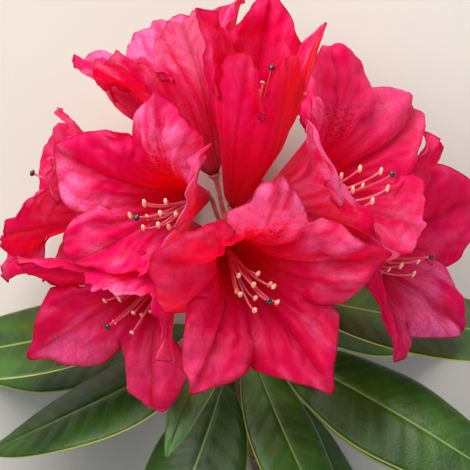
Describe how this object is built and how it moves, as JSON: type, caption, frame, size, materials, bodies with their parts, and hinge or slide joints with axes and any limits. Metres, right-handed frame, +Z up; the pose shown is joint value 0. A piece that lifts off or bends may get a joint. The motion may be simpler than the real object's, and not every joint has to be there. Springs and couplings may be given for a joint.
{
  "type": "cut flowering rhododendron shoot",
  "caption": "Cut flowering rhododendron shoot lying on the ground: a domed truss of large red funnel-shaped blooms with stamens, above a whorl of leathery leaves on a woody stem.",
  "frame": {"origin": "on the ground, under the middle of the shoot's box, as it lies", "axes": "+Z up from the ground; +Y along the ground the way the truss points, away from the stem's cut end; +X level across the shoot"},
  "size_m": [0.2908, 0.2588, 0.1721],
  "materials": {
    "bark": "matt, finely ridged young bark",
    "leaf": "leathery, soft gloss, paler midrib",
    "young_leaf": "soft, satin",
    "stalk": "satin, faintly downy",
    "petal": "soft, thin, light shows through",
    "stamen": "satin"
  },
  "bodies": {
    "root": {"stem": "bark", "leaf_left": "leaf", "leaf_lower_left": "leaf", "leaf_down": "leaf", "leaf_down_right": "leaf", "leaf_lower_right": "leaf", "leaf_right": "leaf", "leaf_far_right": "leaf", "leaf_under_right": "leaf", "leaf_back_left": "leaf", "leaf_back": "leaf", "leaf_back_right": "leaf", "young_leaf_left": "young_leaf", "young_leaf_right": "young_leaf", "stalk_top_left": "stalk", "corolla_top_left": "petal", "stamens_top_left": "stamen", "stalk_top_right": "stalk", "corolla_top_right": "petal", "stamens_top_right": "stamen", "stalk_upper_right": "stalk", "corolla_upper_right": "petal", "stamens_upper_right": "stamen", "stalk_right": "stalk", "corolla_right": "petal", "stamens_right": "stamen", "stalk_front": "stalk", "corolla_front": "petal", "stamens_front": "stamen", "stalk_lower_left": "stalk", "corolla_lower_left": "petal", "stamens_lower_left": "stamen", "stalk_left": "stalk", "corolla_left": "petal", "stamens_left": "stamen", "stalk_back_left": "stalk", "corolla_back_left": "petal", "stamens_back_left": "stamen", "stalk_behind_left": "stalk", "corolla_behind_left": "petal", "stamens_behind_left": "stamen", "stalk_behind": "stalk", "corolla_behind": "petal", "stamens_behind": "stamen", "stalk_behind_right": "stalk", "corolla_behind_right": "petal", "stamens_behind_right": "stamen", "stalk_under_left": "stalk", "corolla_under_left": "petal", "stamens_under_left": "stamen", "stalk_under_right": "stalk", "corolla_under_right": "petal", "stamens_under_right": "stamen"}
  },
  "joints": []
}
